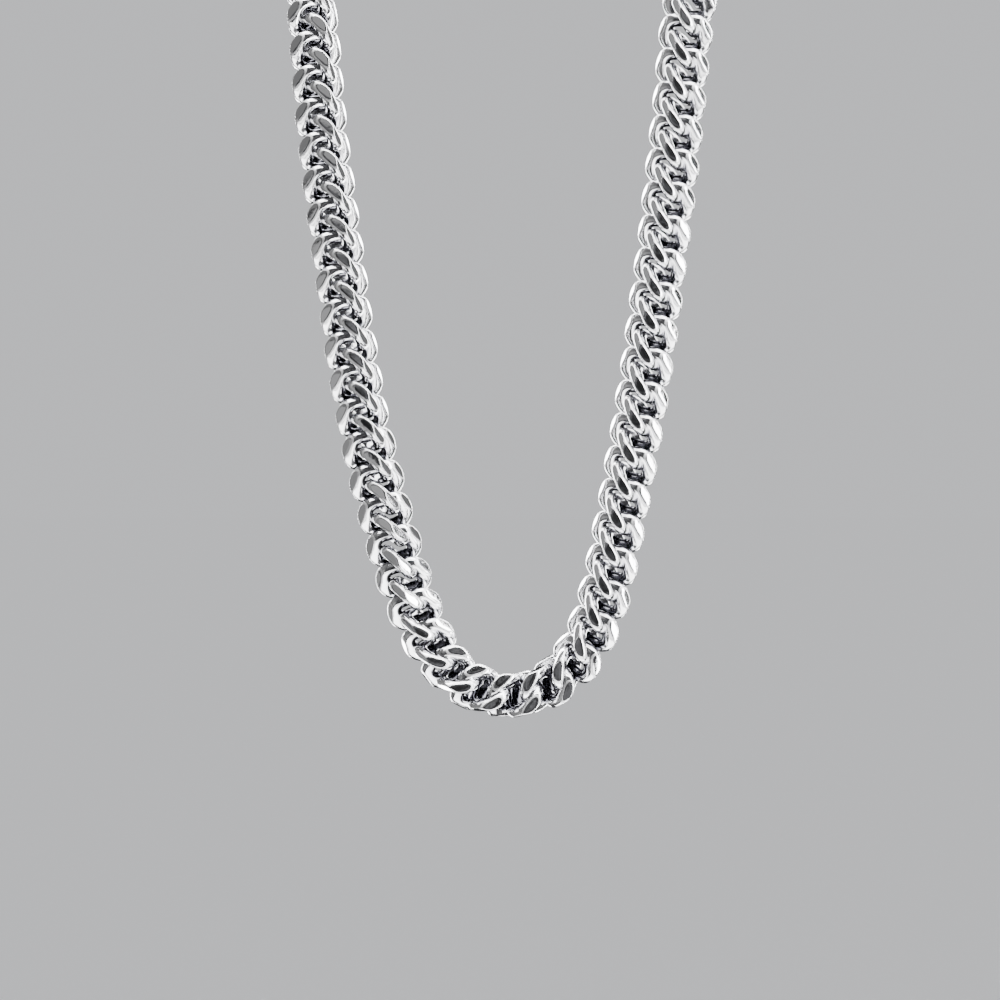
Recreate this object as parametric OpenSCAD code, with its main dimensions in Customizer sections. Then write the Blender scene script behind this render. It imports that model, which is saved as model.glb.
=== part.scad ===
// A square woven chain of flat-cut oval links, worn as a necklace.
// Each link lies across the chain on one diagonal of its square section, the next one on the
// other diagonal, and all of them lean, so that four rows of slanted lobes run along it. Each
// lobe is cut with two flats, which meet in a ridge on its diagonal.
// Millimetres. X is to the wearer's left, Y to the back, Z up. The origin is where the clasp
// rests on the nape.

/* [Links] */
// Width of a link's wire in the plane of the link
wire_w = 1.1; // [0.9:0.05:1.15]
// Thickness of a link's wire, square to that plane
wire_t = 0.9; // [0.7:0.05:0.95]
// Clear opening inside a link, the short way
link_opening = 3.8; // [3.7:0.05:4.2]
// Straight length in each long side of a link
link_straight = 1.8; // [1.6:0.1:2.2]
// Lean of the links from the line of the chain, in degrees
link_lean = 32; // [31:1:34]
// Room between two leaning links of one diagonal, square to them
lean_gap = 1.46; // [1.42:0.02:1.8]
// Depth that the flats are cut into the lobes of the links
flat_depth = 0.5; // [0.3:0.05:0.7]
// Turn of the two flats of a lobe from the diagonal it points along, in degrees
flat_angle = 38; // [32:1:44]

/* [Clasp] */
// Diameter of the clasp's barrel
barrel_d = 6.4; // [5.6:0.2:8]
// Length of the clasp's barrel with its cones
barrel_l = 17; // [14:0.5:24]
// Length of the cone at each end of the barrel
barrel_cone = 1.6; // [1:0.2:2.4]
// Diameter of the flat at each end of the barrel
barrel_end_d = 4.4; // [4:0.2:5.4]

/* [Hidden] */
$fn = 48;
steel = [0.78, 0.79, 0.8];

// A link's outer sizes, and the distance from its middle to the middle of its long wires
link_short = link_opening + 2 * wire_w;
link_long = link_short + link_straight;
wire_offset = (link_opening + wire_w) / 2;

// Two links of one diagonal stand a wire and the gap apart, with one of the other between them
link_step = (wire_t + lean_gap) / sin(link_lean) / 2;

// Reach of an uncut link square to one of its flats: its straight part, its lobe and its wire
reach_straight = link_straight / 2 * cos(flat_angle);
reach_lobe = link_short / 2 * sqrt(pow(cos(flat_angle), 2) + pow(sin(flat_angle) * sin(link_lean), 2));
reach_wire = wire_t / 2 * cos(link_lean) * sin(flat_angle);
half_flats = reach_straight + reach_lobe + reach_wire - flat_depth;

// The middle of each end link of the clasp stands off the barrel by its own near wire
clasp_span = barrel_l + 2 * (wire_offset * cos(link_lean) - wire_w / 2);

// Guide points of the chain's line: round the neck from the nape to the wearer's right side,
// down the front, round the bottom, and back up by the wearer's left side
front_y = -108;
SIDE = [
    [-20, 0.5, -1], [-38, -8, -5], [-50, -24, -11], [-54.5, -44, -18],
    [-52.5, -64, -27], [-45, -83, -39], [-33.5, -99, -54]
];
FRONT = [
    [-25, -72.5], [-24.5, -92], [-21.5, -113], [-19, -133], [-15, -149],
    [-11, -162.5], [-6, -170], [1, -172.5], [8.5, -170], [13.5, -162],
    [16, -148.5], [19, -132.5], [21.5, -113.5], [24, -93], [25.5, -72]
];
ROUTE = concat(
    [[0, 2.5, 0]],
    SIDE,
    [for (p = FRONT) [p[0], front_y, p[1]]],
    [for (i = [len(SIDE) - 1:-1:0]) [-SIDE[i].x, SIDE[i].y, SIDE[i].z]]
);

// Middle of the neck, which the outside of the chain faces away from
neck_y = -52;

// Turn of the weave about the line: distance along it from the lowest point, and degrees
TWIST = [[-275, 0], [-90, 39], [-45, 49], [-30, 66], [10, 148], [33, 140], [90, 136], [275, 180]];

// The line itself, a smooth closed curve, with the distance walked to each of its points
steps = 24;
function unit(v) = v / norm(v);
function bend(p, t) =
    (pow(1 - t, 3) * p[0] + (3 * pow(t, 3) - 6 * pow(t, 2) + 4) * p[1]
    + (-3 * pow(t, 3) + 3 * pow(t, 2) + 3 * t + 1) * p[2] + pow(t, 3) * p[3]) / 6;
count = len(ROUTE);
LINE = [
    for (i = [0:count - 1], j = [0:steps - 1])
        bend([for (k = [-1:2]) ROUTE[(i + k + count) % count]], j / steps)
];
points = len(LINE);
WALKED = [
    for (i = 0, d = 0; i <= points;
        d = d + norm(LINE[(i + 1) % points] - LINE[i % points]), i = i + 1) d
];
loop_length = WALKED[points];
TABLES = [for (axis = [0:2]) [for (i = [0:points]) [WALKED[i], LINE[i % points][axis]]]];
function place(s) = [for (axis = [0:2]) lookup((s + loop_length) % loop_length, TABLES[axis])];
function heading(s) = unit(place(s + 0.5) - place(s - 0.5));

lowest_z = min([for (p = LINE) p.z]);
lowest_s = [for (i = [0:points - 1]) if (LINE[i].z == lowest_z) WALKED[i]][0];

// Links: an odd number, evenly spaced between the clasp's own two end links
chain_length = loop_length - clasp_span;
links = 2 * round(chain_length / link_step / 2) - 1;
step = chain_length / (links + 1);
function link_s(k) = clasp_span / 2 + (k + 1) * step;

// Everything is moved so that the barrel's inner side touches the origin
barrel_middle = (place(link_s(-1)) + place(link_s(links))) / 2;
seat = [0, barrel_d / 2, 0] - barrel_middle;

// The weave's own axes at a distance along the line: two diagonals, the heading and the place
function outward(s) =
    let (p = place(s), t = heading(s), out = [p.x, p.y - neck_y, 0])
    unit(out - t * (out * t));
function weave_axes(s) =
    let (
        t = heading(s),
        out = outward(s),
        turn = lookup(s - lowest_s, TWIST),
        a = out * cos(turn) + cross(t, out) * sin(turn),
        b = cross(t, a),
        p = place(s) + seat
    )
    [[a.x, b.x, t.x, p.x], [a.y, b.y, t.y, p.y], [a.z, b.z, t.z, p.z], [0, 0, 0, 1]];

module oval(half_height) {
    square([link_straight, 2 * half_height], center = true);
    for (side = [-1, 1]) translate([side * link_straight / 2, 0]) circle(half_height);
}

// Section of the finished chain: a corner on each diagonal, with a flat on either side of it
module flats() {
    polygon([
        for (i = [0:7])
            let (r = half_flats / cos(i % 2 == 0 ? flat_angle : 45 - flat_angle))
            [r * cos(45 * i), r * sin(45 * i)]
    ]);
}

// One oval ring, leaning, with the chain's flats cut on its two lobes
module link(k) {
    multmatrix(weave_axes(link_s(k))) intersection() {
        rotate([0, 0, (k + 2) % 2 * 90])
            rotate([90 - link_lean, 0, 0])
            linear_extrude(wire_t, center = true)
            difference() {
                oval(link_short / 2);
                oval(link_opening / 2);
            }
        linear_extrude(3 * link_short, center = true) flats();
    }
}

module chain() {
    color(steel) for (k = [0:links - 1]) link(k);
}

// A plain closed barrel that holds one link of the weave at each end
module clasp() {
    color(steel) union() {
        translate(seat + barrel_middle) rotate([0, 90, 0]) {
            cylinder(d = barrel_d, h = barrel_l - 2 * barrel_cone, center = true);
            for (side = [-1, 1])
                rotate([90 + side * 90, 0, 0])
                translate([0, 0, barrel_l / 2 - barrel_cone])
                cylinder(d1 = barrel_d, d2 = barrel_end_d, h = barrel_cone);
        }
        link(-1);
        link(links);
    }
}

chain();
clasp();
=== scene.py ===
# A worn necklace: a square woven chain of leaning, flat-cut oval links, closed at the nape by a
# barrel. Sizes are in millimetres, and those of the stage round it in metres.
import math
import random

import bpy
from mathutils import Euler, Matrix, Vector


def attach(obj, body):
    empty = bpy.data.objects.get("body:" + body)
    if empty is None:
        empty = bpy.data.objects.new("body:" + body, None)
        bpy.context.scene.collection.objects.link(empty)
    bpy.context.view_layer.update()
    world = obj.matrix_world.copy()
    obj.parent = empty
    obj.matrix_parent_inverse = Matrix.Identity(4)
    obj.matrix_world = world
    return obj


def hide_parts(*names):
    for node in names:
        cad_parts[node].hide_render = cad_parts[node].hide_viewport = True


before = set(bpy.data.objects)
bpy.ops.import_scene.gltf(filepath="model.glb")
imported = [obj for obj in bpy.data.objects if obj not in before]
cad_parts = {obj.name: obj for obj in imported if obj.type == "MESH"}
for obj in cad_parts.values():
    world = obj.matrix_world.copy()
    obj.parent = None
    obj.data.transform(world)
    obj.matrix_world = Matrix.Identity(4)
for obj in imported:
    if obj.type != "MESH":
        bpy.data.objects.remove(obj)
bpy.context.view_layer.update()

# The line of the chain
# The chain hangs from the nape, comes round both sides of the neck and falls in a narrow U.
# These are the guide points of its middle line, and how far its weave has turned along it: the
# distance from the lowest point, and degrees.
FRONT_Y = -108
# The outside of the weave faces away from the middle of the loop round the neck
NECK_Y = -52
NAPE = (0, 2.5, 0)
SIDE = [
    (-20, 0.5, -1), (-38, -8, -5), (-50, -24, -11), (-54.5, -44, -18),
    (-52.5, -64, -27), (-45, -83, -39), (-33.5, -99, -54),
]
FRONT = [
    (-25, -72.5), (-24.5, -92), (-21.5, -113), (-19, -133), (-15, -149),
    (-11, -162.5), (-6, -170), (1, -172.5), (8.5, -170), (13.5, -162),
    (16, -148.5), (19, -132.5), (21.5, -113.5), (24, -93), (25.5, -72),
]
TWIST = [(-275, 0), (-90, 39), (-45, 49), (-30, 66), (10, 148), (33, 140), (90, 136), (275, 180)]
ROUTE = (
    [Vector(NAPE)]
    + [Vector(p) for p in SIDE]
    + [Vector((x, FRONT_Y, z)) for x, z in FRONT]
    + [Vector((-x, y, z)) for x, y, z in reversed(SIDE)]
)
CURVE_STEPS = 24


def curve_point(before, start, end, after, t):
    return (
        (1 - t) ** 3 * before
        + (3 * t**3 - 6 * t**2 + 4) * start
        + (-3 * t**3 + 3 * t**2 + 3 * t + 1) * end
        + t**3 * after
    ) / 6


line = []
for i, start in enumerate(ROUTE):
    before = ROUTE[i - 1]
    end = ROUTE[(i + 1) % len(ROUTE)]
    after = ROUTE[(i + 2) % len(ROUTE)]
    line += [curve_point(before, start, end, after, j / CURVE_STEPS) for j in range(CURVE_STEPS)]
line.append(line[0].copy())
walked = [0.0]
for start, end in zip(line, line[1:]):
    walked.append(walked[-1] + (end - start).length)
loop_length = walked[-1]


def blend_rows(rows, key):
    for (low, start), (high, end) in zip(rows, rows[1:]):
        if key <= high:
            return start + (end - start) * max(0.0, key - low) / (high - low)
    return rows[-1][1]


line_rows = list(zip(walked, line))
lowest_s = walked[min(range(len(line)), key=lambda i: line[i].z)]


def place(s):
    return blend_rows(line_rows, s % loop_length)


# The woven chain
# Each link is an oval ring of round steel wire, bent so that it leans, and hooked through its
# neighbours. Each of its two lobes is ground with two flats, and the whole is tumbled bright.
MM = 0.001
WIRE = 1.7
WIRE_DEPTH = 1.6
WIRE_WAIST = 1.12
LOBE_FILL = 1.0
LINK_OPENING = 2.6
LINK_STRAIGHT = 1.8
LINK_LEAN = math.radians(32)
LEAN_SPACING = 2.36
FLAT_ANGLE = math.radians(38)
FLAT_DEPTH = 0.41
FLAT_ROUND = 0.07

# The barrel stands between the first and the last link of the chain. The room that it takes is
# reckoned with the thinner wire of the solids, so that every link stands where its solid does.
CAD_WIRE = 1.1
CAD_OPENING = 3.8
BARREL_LENGTH = 17
BARREL_D = 6.4

ring_radius = (LINK_OPENING + WIRE) / 2
cad_offset = (CAD_OPENING + CAD_WIRE) / 2
clasp_span = BARREL_LENGTH + 2 * (cad_offset * math.cos(LINK_LEAN) - CAD_WIRE / 2)
link_step = LEAN_SPACING / math.sin(LINK_LEAN) / 2
chain_length = loop_length - clasp_span
link_count = 2 * round(chain_length / link_step / 2) - 1
step = chain_length / (link_count + 1)


def link_s(k):
    return clasp_span / 2 + (k + 1) * step


barrel_middle = (place(link_s(-1)) + place(link_s(link_count))) / 2
seat = Vector((0, BARREL_D / 2, 0)) - barrel_middle


def weave_matrix(k):
    s = link_s(k)
    heading = (place(s + 0.5) - place(s - 0.5)).normalized()
    middle = place(s)
    out = Vector((middle.x, middle.y - NECK_Y, 0))
    out = (out - heading * out.dot(heading)).normalized()
    turn = math.radians(blend_rows(TWIST, s - lowest_s))
    first = out * math.cos(turn) + heading.cross(out) * math.sin(turn)
    second = heading.cross(first)
    if k % 2:
        first, second = second, -first
    axes = Matrix((first, second, heading)).transposed().to_4x4()
    return Matrix.Translation((middle + seat) * MM) @ axes @ Matrix.Scale(MM, 4)


# The flats are square to the chain's section, a cut's depth inside an unground link's reach
reach_along = math.hypot(math.cos(FLAT_ANGLE), math.sin(FLAT_ANGLE) * math.sin(LINK_LEAN))
reach_aside = math.sin(FLAT_ANGLE) * math.cos(LINK_LEAN)
half_flats = (
    LINK_STRAIGHT / 2 * math.cos(FLAT_ANGLE)
    + ring_radius * reach_along
    + math.hypot(WIRE * reach_along, WIRE_DEPTH * reach_aside) / 2
    - FLAT_DEPTH
)

# A point that is so many times FLAT_ROUND inside a flat isn't moved by it
UNTOUCHED = 30


def press_flats(point):
    for side in (0, math.pi):
        for turn in (FLAT_ANGLE, -FLAT_ANGLE):
            normal = Vector((math.cos(side + turn), math.sin(side + turn), 0))
            above = (point.dot(normal) - half_flats) / FLAT_ROUND
            pressed = -math.log1p(math.exp(-above)) if above > -UNTOUCHED else above
            point = point + normal * (pressed - above) * FLAT_ROUND
    return point


# The mesh of a link is finer where it shows: on the two lobes, and on the outer side of the wire
LINK_SECTIONS = 48
WIRE_SIDES = 20
FINER_LOBES = 0.28
FINER_OUTSIDE = 0.35


def make_link(name):
    bpy.ops.object.select_all(action="DESELECT")
    bpy.ops.mesh.primitive_torus_add(
        major_radius=ring_radius,
        minor_radius=WIRE / 2,
        major_segments=LINK_SECTIONS,
        minor_segments=WIRE_SIDES,
        rotation=(0, 0, math.pi / LINK_SECTIONS),
    )
    link = bpy.context.object
    link.name = name
    bpy.ops.object.transform_apply(location=True, rotation=True, scale=True)
    outer_radius = ring_radius + WIRE / 2
    for vertex in link.data.vertices:
        point = vertex.co
        turn = math.atan2(point.y, point.x)
        turn -= FINER_LOBES * math.sin(2 * turn)
        aside = math.atan2(point.z, point.xy.length - ring_radius)
        aside -= FINER_OUTSIDE * math.sin(aside)
        reach = ring_radius + WIRE / 2 * math.cos(aside)
        point.xyz = (reach * math.cos(turn), reach * math.sin(turn), WIRE / 2 * math.sin(aside))
        lobe = abs(point.x) / point.xy.length
        thick = WIRE_WAIST + (1 - WIRE_WAIST) * lobe**2
        inward = (outer_radius - point.xy.length) / WIRE
        radius = outer_radius - inward * (WIRE * thick + LOBE_FILL * lobe**4)
        point.xy = point.xy.normalized() * radius
        point.z *= WIRE_DEPTH / WIRE * thick
        point.x += math.copysign(LINK_STRAIGHT / 2, point.x)
    link.rotation_euler.x = math.pi / 2 - LINK_LEAN
    bpy.ops.object.transform_apply(location=False, rotation=True, scale=False)
    heights = []
    cuts = []
    for vertex in link.data.vertices:
        pressed = press_flats(vertex.co)
        heights.append(vertex.co.xy.length)
        cuts.append((vertex.co - pressed).length)
        vertex.co = pressed
    link.data.attributes.new("weave_height", "FLOAT", "POINT").data.foreach_set("value", heights)
    link.data.attributes.new("cut_depth", "FLOAT", "POINT").data.foreach_set("value", cuts)
    bpy.ops.object.shade_smooth()
    return link


def hex_colour(text):
    channels = [int(text[i:i + 2], 16) / 255 for i in (1, 3, 5)]
    return tuple(c / 12.92 if c <= 0.04045 else ((c + 0.055) / 1.055) ** 2.4 for c in channels) + (1.0,)


def add_node(material, kind, settings=(), links=()):
    node = material.node_tree.nodes.new(kind)
    for key, value in settings:
        if isinstance(key, str) and hasattr(node, key):
            setattr(node, key, value)
        else:
            node.inputs[key].default_value = value
    for socket, source in links:
        material.node_tree.links.new(source, node.inputs[socket])
    return node


def make_material(name):
    material = bpy.data.materials.new(name)
    material.use_nodes = True
    material.node_tree.nodes.clear()
    return material


# Stainless wire, tumbled bright and a little uneven, with its flats ground to a mirror and a
# satin edge round each. Deep in the weave the steel is painted grey, as painted shade between the
# links. The finish follows two measures kept on the links: how far a point is from the chain's
# middle, and how deep it was cut.
# Painted shade: the steel's colour deep in the weave, darkened to grey where shade falls between the
# links
WEAVE_SHADE_GREY = "#74747a"
STEEL_BRIGHT = "#f0f0f2"
# Painted shade: full below the first distance from the chain's middle, none beyond the second, in mm
FULL_SHADE_HEIGHT = 1.7
NO_SHADE_HEIGHT = 2.6
TUMBLED = 0.14
SATIN = 0.5
MIRROR = 0.08
# Depth ground away, and the roughness there
ROUGHNESS_AT_CUT = [(0.0, TUMBLED), (0.015, TUMBLED), (0.03, SATIN), (0.08, SATIN), (0.11, MIRROR)]
TUMBLE_DENTS = 0.9
DENT_STRENGTH = 0.13
DENT_DEPTH = 0.1

cut_steel = make_material("tumbled_and_ground_stainless_steel")
position = add_node(cut_steel, "ShaderNodeTexCoord").outputs["Object"]
dents = add_node(
    cut_steel,
    "ShaderNodeTexNoise",
    [("Scale", 1 / (TUMBLE_DENTS * MM)), ("Detail", 3)],
    [("Vector", position)],
)
bump = add_node(
    cut_steel,
    "ShaderNodeBump",
    [("Strength", DENT_STRENGTH), ("Distance", DENT_DEPTH * MM)],
    [("Height", dents.outputs["Fac"])],
)
height = add_node(cut_steel, "ShaderNodeAttribute", [("attribute_name", "weave_height")])
# Painted shade: the colour goes from grey to bright with the distance from the chain's middle
unshaded = add_node(
    cut_steel,
    "ShaderNodeMapRange",
    [("From Min", FULL_SHADE_HEIGHT), ("From Max", NO_SHADE_HEIGHT)],
    [("Value", height.outputs["Fac"])],
)
tone = add_node(
    cut_steel,
    "ShaderNodeMixRGB",
    [("Color1", hex_colour(WEAVE_SHADE_GREY)), ("Color2", hex_colour(STEEL_BRIGHT))],
    [("Fac", unshaded.outputs["Result"])],
)
cut = add_node(cut_steel, "ShaderNodeAttribute", [("attribute_name", "cut_depth")])
gloss = add_node(cut_steel, "ShaderNodeValToRGB", (), [("Fac", cut.outputs["Fac"])])
while len(gloss.color_ramp.elements) < len(ROUGHNESS_AT_CUT):
    gloss.color_ramp.elements.new(0.5)
for element, (depth, rough) in zip(gloss.color_ramp.elements, ROUGHNESS_AT_CUT):
    element.position = depth
    element.color = (rough, rough, rough, 1)
steel = add_node(
    cut_steel,
    "ShaderNodeBsdfPrincipled",
    [("Metallic", 1.0)],
    [
        ("Base Color", tone.outputs["Color"]),
        ("Roughness", gloss.outputs["Color"]),
        ("Normal", bump.outputs["Normal"]),
    ],
)
add_node(cut_steel, "ShaderNodeOutputMaterial", (), [("Surface", steel.outputs["BSDF"])])

link_master = make_link("link_master")
link_master.data.materials.append(cut_steel)


def copy_link(placed):
    link = link_master.copy()
    link.data = link_master.data.copy()
    link.matrix_world = placed
    bpy.context.collection.objects.link(link)
    link.select_set(True)
    bpy.context.view_layer.objects.active = link


# A woven chain never lies quite even: each link is up to a degree or two off its place
LOOSE_TURN = math.radians(1.6)
loose = random.Random(4)


def loosely():
    turns = [loose.uniform(-LOOSE_TURN, LOOSE_TURN) for _ in range(3)]
    return Euler(turns).to_matrix().to_4x4()


def make_stretch(name, first, last):
    bpy.ops.object.select_all(action="DESELECT")
    for k in range(first, last):
        copy_link(weave_matrix(k) @ loosely())
    bpy.ops.object.transform_apply(location=True, rotation=True, scale=True)
    bpy.ops.object.join()
    stretch = bpy.context.object
    stretch.name = name
    stretch.data.name = name
    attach(stretch, "root")
    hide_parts("chain")


# Each stretch runs from one link up to, but without, another
STRETCHES = {
    "chain_neck_right": (0, 60),
    "chain_front_right": (60, 105),
    "chain_bottom": (105, 136),
    "chain_front_left": (136, 181),
    "chain_neck_left": (181, link_count),
}
for name, (first, last) in STRETCHES.items():
    make_stretch(name, first, last)

# The clasp
# A plain closed barrel, turned from steel bar with a short cone at each end. It holds one link
# of the weave at each end.
BARREL_SIDES = 64
BARREL_CONE = 1.6
BARREL_END_D = 4.4
BARREL_EDGE = 0.25
EDGE_SEGMENTS = 3
EDGE_ANGLE = math.radians(20)
SMOOTH_ANGLE = math.radians(25)

bpy.ops.object.select_all(action="DESELECT")
bpy.ops.mesh.primitive_cylinder_add(
    vertices=BARREL_SIDES, radius=BARREL_D / 2, depth=BARREL_LENGTH - 2 * BARREL_CONE
)
barrel = bpy.context.object
narrow = BARREL_END_D / BARREL_D
for side in (-1, 1):
    bpy.ops.object.mode_set(mode="EDIT")
    bpy.ops.mesh.select_all(action="DESELECT")
    bpy.ops.object.mode_set(mode="OBJECT")
    for face in barrel.data.polygons:
        face.select = face.normal.z * side > 0.9
    bpy.ops.object.mode_set(mode="EDIT")
    bpy.ops.mesh.select_mode(type="FACE")
    bpy.ops.mesh.extrude_region_move(TRANSFORM_OT_translate={"value": (0, 0, side * BARREL_CONE)})
    bpy.ops.transform.resize(value=(narrow, narrow, 1), center_override=(0, 0, 0))
    bpy.ops.object.mode_set(mode="OBJECT")
edges = barrel.modifiers.new("edges", "BEVEL")
edges.width = BARREL_EDGE
edges.segments = EDGE_SEGMENTS
edges.limit_method = "ANGLE"
edges.angle_limit = EDGE_ANGLE
bpy.ops.object.modifier_apply(modifier="edges")
bpy.ops.object.select_all(action="DESELECT")
barrel.select_set(True)
bpy.ops.object.shade_smooth_by_angle(angle=SMOOTH_ANGLE)
across_nape = Matrix.Rotation(math.pi / 2, 4, "Y")
barrel.matrix_world = (
    Matrix.Translation((seat + barrel_middle) * MM) @ across_nape @ Matrix.Scale(MM, 4)
)
bpy.ops.object.transform_apply(location=True, rotation=True, scale=True)

# Turned stainless steel, polished over. Fine rings from the lathe, an eighth of a millimetre wide,
# run round the barrel, so the noise is close along it and drawn out across it.
TURNED_STEEL = "#e4e5e8"
RINGS_PER_MM = (8, 0.3, 0.3)
RING_STRENGTH = 0.06
RING_DEPTH = 0.1

barrel_steel = make_material("turned_stainless_steel")
position = add_node(barrel_steel, "ShaderNodeTexCoord").outputs["Object"]
rings = add_node(barrel_steel, "ShaderNodeMapping", [("Scale", RINGS_PER_MM)], [("Vector", position)])
lathe = add_node(
    barrel_steel,
    "ShaderNodeTexNoise",
    [("Scale", 1 / MM), ("Detail", 2)],
    [("Vector", rings.outputs["Vector"])],
)
bump = add_node(
    barrel_steel,
    "ShaderNodeBump",
    [("Strength", RING_STRENGTH), ("Distance", RING_DEPTH * MM)],
    [("Height", lathe.outputs["Fac"])],
)
steel = add_node(
    barrel_steel,
    "ShaderNodeBsdfPrincipled",
    [("Base Color", hex_colour(TURNED_STEEL)), ("Metallic", 1.0), ("Roughness", 0.18)],
    [("Normal", bump.outputs["Normal"])],
)
add_node(barrel_steel, "ShaderNodeOutputMaterial", (), [("Surface", steel.outputs["BSDF"])])
barrel.data.materials.append(barrel_steel)

bpy.ops.object.select_all(action="DESELECT")
for k in (-1, link_count):
    copy_link(weave_matrix(k))
bpy.ops.object.transform_apply(location=True, rotation=True, scale=True)
barrel.select_set(True)
bpy.context.view_layer.objects.active = barrel
bpy.ops.object.join()
barrel.name = "clasp_barrel"
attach(barrel, "root")
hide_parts("clasp")
bpy.data.objects.remove(link_master)

# The floor, the light and the camera
# A pale matt floor lies well under the chain, in a room of even pale light. Polished steel shows
# only what stands round it, so a tent of dark mottled cloth and a ring of soft cards are seen in
# its gloss and nowhere else.
FLOOR_SIZE = 30
FLOOR_Z = -0.245
FLOOR_COLOUR = "#fefefe"
ROOM_COLOUR = "#d6d7da"

bpy.ops.mesh.primitive_plane_add(size=FLOOR_SIZE, location=(0, 0, FLOOR_Z))
floor = bpy.context.object
floor.name = "floor"
floor.visible_glossy = False
plain_floor = make_material("pale_matt_floor")
shade = add_node(
    plain_floor,
    "ShaderNodeBsdfPrincipled",
    [("Base Color", hex_colour(FLOOR_COLOUR)), ("Roughness", 1.0), ("Specular IOR Level", 0.0)],
)
add_node(plain_floor, "ShaderNodeOutputMaterial", (), [("Surface", shade.outputs["BSDF"])])
floor.data.materials.append(plain_floor)

world = bpy.data.worlds.new("soft_studio")
bpy.context.scene.world = world
world.use_nodes = True
world.node_tree.nodes["Background"].inputs["Color"].default_value = hex_colour(ROOM_COLOUR)
world.node_tree.nodes["Background"].inputs["Strength"].default_value = 1.0

# The tent's cloth: its patches to a metre, the stretch of the noise that they take up, and the
# light of the darkest patch and of the lightest
MOTTLE_SCALE = 4.5
MOTTLE_RANGE = (0.4, 0.65)
TENT_DARKEST = 0.02
TENT_LIGHTEST = 0.22


def glow_only(thing, name, colour, strength, mottled=False):
    glow = make_material(name)
    light = add_node(glow, "ShaderNodeEmission", [("Color", hex_colour(colour)), ("Strength", strength)])
    if mottled:
        position = add_node(glow, "ShaderNodeTexCoord").outputs["Object"]
        mottle = add_node(
            glow, "ShaderNodeTexNoise", [("Scale", MOTTLE_SCALE), ("Detail", 2)], [("Vector", position)]
        )
        low, high = MOTTLE_RANGE
        brightness = add_node(
            glow,
            "ShaderNodeMapRange",
            [("From Min", low), ("From Max", high), ("To Min", TENT_DARKEST), ("To Max", TENT_LIGHTEST)],
            [("Value", mottle.outputs["Fac"])],
        )
        glow.node_tree.links.new(brightness.outputs["Result"], light.inputs["Strength"])
    add_node(glow, "ShaderNodeOutputMaterial", (), [("Surface", light.outputs["Emission"])])
    thing.data.materials.append(glow)
    thing.visible_camera = False
    thing.visible_shadow = False
    thing.visible_diffuse = False


CHAIN_MIDDLE = Vector((0, -0.106, -0.1))
TENT_RADIUS = 1.6
bpy.ops.mesh.primitive_uv_sphere_add(
    segments=32, ring_count=16, radius=TENT_RADIUS, location=CHAIN_MIDDLE
)
dark_tent = bpy.context.object
dark_tent.name = "dark_tent"
glow_only(dark_tent, "dark_tent_cloth", "#f4f4f8", 1, mottled=True)

# Each card stands a metre from the chain's middle: degrees to the right of the camera and up, its
# width and height, and its light
CARDS = {
    "right_softbox": (57, 5, 0.22, 2.2, 18),
    "right_strip": (77, 5, 0.1, 2.2, 18),
    "right_grey": (97, 5, 0.45, 2.2, 0.3),
    "right_back_grey": (125, 5, 0.5, 2.2, 0.2),
    "right_back": (154, 5, 0.32, 2.2, 18),
    "left_near_grey": (-24, 20, 0.42, 0.6, 0.35),
    "left_upper_grey": (-54, 20, 0.42, 0.7, 0.2),
    "left_lower_grey": (-56, -18, 0.42, 0.6, 0.4),
    "left_grey": (-85, 5, 0.7, 2.0, 0.27),
    "left_back_grey": (-122, 5, 0.4, 2.2, 0.35),
    "left_back": (-148, 5, 0.32, 2.2, 18),
    "front_above": (0, 46, 1.5, 0.12, 18),
    "front_below": (0, -48, 1.2, 0.14, 5),
    "above": (0, 80, 1.3, 0.8, 12),
    "below": (0, -78, 1.3, 0.8, 7),
}
for name, (right, up, width, height, strength) in CARDS.items():
    right = math.radians(right)
    up = math.radians(up)
    toward = Vector((math.sin(right) * math.cos(up), -math.cos(right) * math.cos(up), math.sin(up)))
    bpy.ops.mesh.primitive_plane_add(size=1, location=CHAIN_MIDDLE + toward)
    card = bpy.context.object
    card.name = name
    card.scale = (width, height, 1)
    card.rotation_euler = (-toward).to_track_quat("Z", "Y").to_euler()
    glow_only(card, name + "_cloth", "#ffffff", strength)

# The camera looks straight on from the front, at the height of the picture's middle
CAMERA_LENS = 100
CAMERA_SENSOR = 36
CAMERA_DISTANCE = 0.37
CAMERA_Z = -145.7

camera_data = bpy.data.cameras.new("camera")
camera_data.lens = CAMERA_LENS
camera_data.sensor_width = CAMERA_SENSOR
camera = bpy.data.objects.new("camera", camera_data)
camera.location = (seat.x * MM, CHAIN_MIDDLE.y - CAMERA_DISTANCE, (seat.z + CAMERA_Z) * MM)
camera.rotation_euler = (math.pi / 2, 0, 0)
bpy.context.collection.objects.link(camera)
bpy.context.scene.camera = camera
